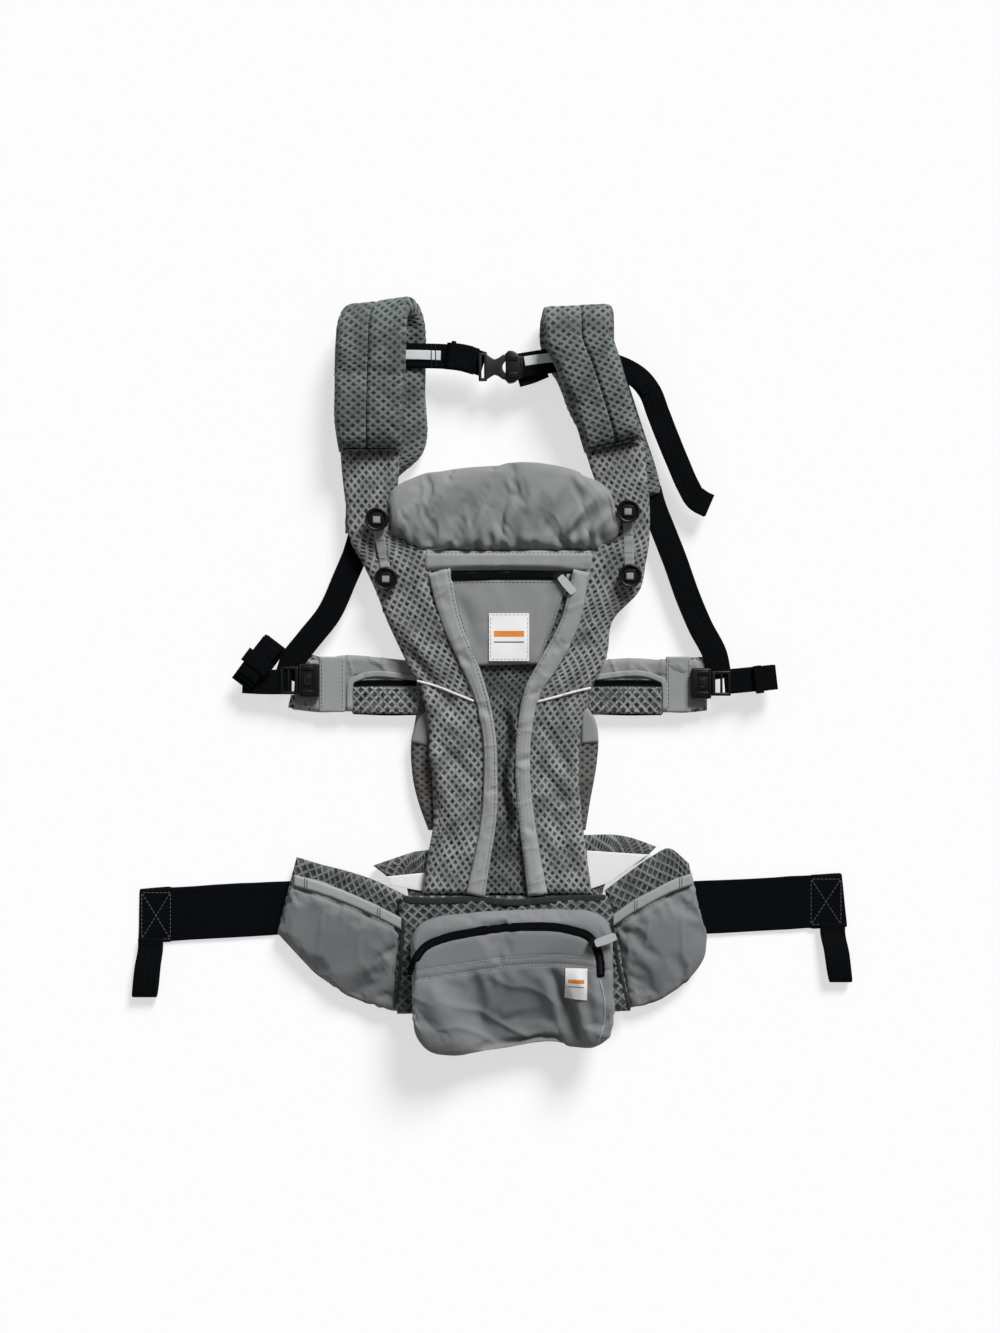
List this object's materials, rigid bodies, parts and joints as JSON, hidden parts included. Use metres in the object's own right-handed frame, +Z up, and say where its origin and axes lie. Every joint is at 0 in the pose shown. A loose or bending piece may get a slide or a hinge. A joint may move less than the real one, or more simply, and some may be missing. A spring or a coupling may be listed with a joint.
{
  "type": "soft baby carrier",
  "caption": "Structured soft baby carrier lying flat: mesh body panel, headrest, padded shoulder straps joined by a chest strap, side arms with buckles, padded waist belt and zipped pouch.",
  "frame": {"origin": "centre of the footprint, on the surface it lies on", "axes": "+Z up from the surface (the outer side faces up), +Y from the waist belt to the shoulder straps, +X to the right seen from above"},
  "size_m": [0.718, 0.7515, 0.07],
  "materials": {
    "twill": "woven",
    "mesh": "woven",
    "dark_mesh": "woven",
    "webbing": "woven",
    "hook_tape": "woven",
    "plastic": "satin",
    "grey_plastic": "satin",
    "steel": "satin",
    "label": "woven"
  },
  "bodies": {
    "panel": {"lumbar_pad": "mesh", "care_label_left": "label", "care_label_right": "label", "belt_centre": "dark_mesh", "inner_panel": "mesh", "centre_mesh": "dark_mesh", "side_mesh_left": "mesh", "side_mesh_right": "mesh", "rail_left": "twill", "rail_right": "twill", "upper_pocket": "twill", "pocket_zip": "webbing", "pocket_label": "label", "headrest_band": "twill", "pouch": "twill", "pouch_zip": "webbing", "pouch_label": "label", "side_webbing_left": "webbing", "side_webbing_right": "webbing"},
    "headrest": {"headrest": "twill"},
    "harness": {"strap_front_left": "mesh", "strap_front_right": "mesh", "strap_back_left": "mesh", "strap_back_right": "mesh", "chest_webbing_left": "webbing", "chest_webbing_right": "webbing", "chest_buckle_female": "plastic", "chest_tail": "webbing"},
    "chest_buckle": {"chest_buckle_male": "grey_plastic", "chest_keeper": "webbing"},
    "pocket_slider": {"pocket_slider": "plastic"},
    "pocket_pull_tab": {"pocket_pull_tab": "steel"},
    "pouch_slider": {"pouch_slider": "plastic"},
    "pouch_pull_tab": {"pouch_pull_tab": "steel"},
    "chest_buckle_prong_a": {"chest_buckle_prong_a": "grey_plastic"},
    "chest_buckle_prong_b": {"chest_buckle_prong_b": "grey_plastic"},
    "arm_left": {"arm_left": "twill", "side_buckle_left_female": "plastic"},
    "side_buckle_left": {"side_buckle_left_male": "grey_plastic", "side_tail_left": "webbing"},
    "side_buckle_left_prong_a": {"side_buckle_left_prong_a": "grey_plastic"},
    "side_buckle_left_prong_b": {"side_buckle_left_prong_b": "grey_plastic"},
    "wing_left": {"wing_pad_left": "mesh", "wing_cover_left": "twill"},
    "waist_strap_left": {"waist_strap_left": "hook_tape"},
    "pull_loop_left": {"pull_loop_left": "webbing"},
    "arm_right": {"arm_right": "twill", "side_buckle_right_female": "plastic"},
    "side_buckle_right": {"side_buckle_right_male": "grey_plastic", "side_tail_right": "webbing"},
    "side_buckle_right_prong_a": {"side_buckle_right_prong_a": "grey_plastic"},
    "side_buckle_right_prong_b": {"side_buckle_right_prong_b": "grey_plastic"},
    "wing_right": {"wing_pad_right": "mesh", "wing_cover_right": "twill"},
    "waist_strap_right": {"waist_strap_right": "hook_tape"},
    "pull_loop_right": {"pull_loop_right": "webbing"},
    "button_upper_left": {"button_upper_left": "plastic"},
    "button_lower_left": {"button_lower_left": "plastic"},
    "button_upper_right": {"button_upper_right": "plastic"},
    "button_lower_right": {"button_lower_right": "plastic"}
  },
  "joints": [
    {"name": "harness_lift", "type": "hinge", "parent": "panel", "child": "harness", "pos_m": [0, 0.1375, 0.0334], "axis": [1, 0, 0], "range_deg": [0, 100], "deforming": ["side_webbing_left", "side_webbing_right"]},
    {"name": "headrest_fold", "type": "hinge", "parent": "panel", "child": "headrest", "pos_m": [0.016, 0.1246, 0.0426], "axis": [1, 0, 0], "range_deg": [0, 165]},
    {"name": "chest_buckle_slide", "type": "slide", "parent": "harness", "child": "chest_buckle", "axis": [-1, 0, 0], "range_m": [0, 0.02], "deforming": ["chest_webbing_left"]},
    {"name": "chest_buckle_prong_a_press", "type": "hinge", "parent": "chest_buckle", "child": "chest_buckle_prong_a", "pos_m": [0.012, 0.2964, 0.026], "axis": [0, 0, 1], "range_deg": [0, 6], "stiffness_Nm_per_rad": 0.2},
    {"name": "chest_buckle_prong_b_press", "type": "hinge", "parent": "chest_buckle", "child": "chest_buckle_prong_b", "pos_m": [0.012, 0.3206, 0.026], "axis": [0, 0, -1], "range_deg": [0, 6]},
    {"name": "arm_left_wrap", "type": "hinge", "parent": "panel", "child": "arm_left", "pos_m": [-0.0782, -0.01, 0], "axis": [0, -1, 0], "range_deg": [0, 80], "deforming": ["side_webbing_left"]},
    {"name": "side_buckle_left_slide", "type": "slide", "parent": "arm_left", "child": "side_buckle_left", "axis": [-1, 0, 0], "range_m": [0, 0.026], "deforming": ["side_webbing_left"]},
    {"name": "side_buckle_left_prong_a_press", "type": "hinge", "parent": "side_buckle_left", "child": "side_buckle_left_prong_a", "pos_m": [-0.196, -0.0176, 0.0184], "axis": [0, 0, 1], "range_deg": [0, 6], "stiffness_Nm_per_rad": 0.2},
    {"name": "side_buckle_left_prong_b_press", "type": "hinge", "parent": "side_buckle_left", "child": "side_buckle_left_prong_b", "pos_m": [-0.196, 0.0066, 0.0184], "axis": [0, 0, -1], "range_deg": [0, 6]},
    {"name": "arm_right_wrap", "type": "hinge", "parent": "panel", "child": "arm_right", "pos_m": [0.0967, -0.01, 0], "axis": [0, 1, 0], "range_deg": [0, 80], "deforming": ["side_webbing_right"]},
    {"name": "side_buckle_right_slide", "type": "slide", "parent": "arm_right", "child": "side_buckle_right", "axis": [1, 0, 0], "range_m": [0, 0.026], "deforming": ["side_webbing_right"]},
    {"name": "side_buckle_right_prong_a_press", "type": "hinge", "parent": "side_buckle_right", "child": "side_buckle_right_prong_a", "pos_m": [0.219, -0.0191, 0.0184], "axis": [0, 0, -1], "range_deg": [0, 6], "stiffness_Nm_per_rad": 0.2},
    {"name": "side_buckle_right_prong_b_press", "type": "hinge", "parent": "side_buckle_right", "child": "side_buckle_right_prong_b", "pos_m": [0.219, 0.0021, 0.0184], "axis": [0, 0, 1], "range_deg": [0, 6]},
    {"name": "wing_left_wrap", "type": "hinge", "parent": "panel", "child": "wing_left", "pos_m": [-0.0912, -0.28, 0], "axis": [0, -1, 0], "range_deg": [0, 80]},
    {"name": "wing_right_wrap", "type": "hinge", "parent": "panel", "child": "wing_right", "pos_m": [0.1126, -0.28, 0], "axis": [0, 1, 0], "range_deg": [0, 80]},
    {"name": "waist_strap_left_wrap", "type": "hinge", "parent": "wing_left", "child": "waist_strap_left", "pos_m": [-0.2135, -0.236, 0], "axis": [-0.2841, -0.9588, 0], "range_deg": [0, 60]},
    {"name": "waist_strap_right_wrap", "type": "hinge", "parent": "wing_right", "child": "waist_strap_right", "pos_m": [0.211, -0.236, 0], "axis": [-0.1479, 0.989, 0], "range_deg": [0, 60]},
    {"name": "pull_loop_left_flip", "type": "hinge", "parent": "waist_strap_left", "child": "pull_loop_left", "pos_m": [-0.3475, -0.2723, 0.0032], "axis": [-1, 0, 0], "range_deg": [0, 90]},
    {"name": "pull_loop_right_flip", "type": "hinge", "parent": "waist_strap_right", "child": "pull_loop_right", "pos_m": [0.3435, -0.2571, 0.0032], "axis": [-1, 0, 0], "range_deg": [0, 90]},
    {"name": "pocket_zip_run", "type": "slide", "parent": "panel", "child": "pocket_slider", "axis": [-1, -0.0087, 0], "range_m": [0, 0.1]},
    {"name": "pocket_pull_tab_flip", "type": "hinge", "parent": "pocket_slider", "child": "pocket_pull_tab", "pos_m": [0.066, 0.0984, 0.0382], "axis": [-0.766, -0.6428, 0], "range_deg": [0, 170]},
    {"name": "pouch_zip_run", "type": "hinge", "parent": "panel", "child": "pouch_slider", "pos_m": [0.02, -0.469, 0.064], "axis": [0, 0, 1], "range_deg": [0, 40]},
    {"name": "pouch_pull_tab_flip", "type": "hinge", "parent": "pouch_slider", "child": "pouch_pull_tab", "pos_m": [0.0995, -0.2628, 0.0694], "axis": [0.342, -0.9397, 0], "range_deg": [0, 170]},
    {"name": "button_upper_left_tilt", "type": "hinge", "parent": "harness", "child": "button_upper_left", "pos_m": [-0.116, 0.155, 0.0338], "axis": [1, 0, 0], "range_deg": [-12, 12]},
    {"name": "button_lower_left_tilt", "type": "hinge", "parent": "panel", "child": "button_lower_left", "pos_m": [-0.107, 0.096, 0.0328], "axis": [1, 0, 0], "range_deg": [-12, 12]},
    {"name": "button_upper_right_tilt", "type": "hinge", "parent": "harness", "child": "button_upper_right", "pos_m": [0.134, 0.163, 0.0338], "axis": [1, 0, 0], "range_deg": [-12, 12]},
    {"name": "button_lower_right_tilt", "type": "hinge", "parent": "panel", "child": "button_lower_right", "pos_m": [0.136, 0.099, 0.0328], "axis": [1, 0, 0], "range_deg": [-12, 12]}
  ],
  "couplings": [
    {"joint": "chest_buckle_prong_b_press", "follows": "chest_buckle_prong_a_press", "ratio": 1},
    {"joint": "side_buckle_left_prong_b_press", "follows": "side_buckle_left_prong_a_press", "ratio": 1},
    {"joint": "side_buckle_right_prong_b_press", "follows": "side_buckle_right_prong_a_press", "ratio": 1}
  ]
}
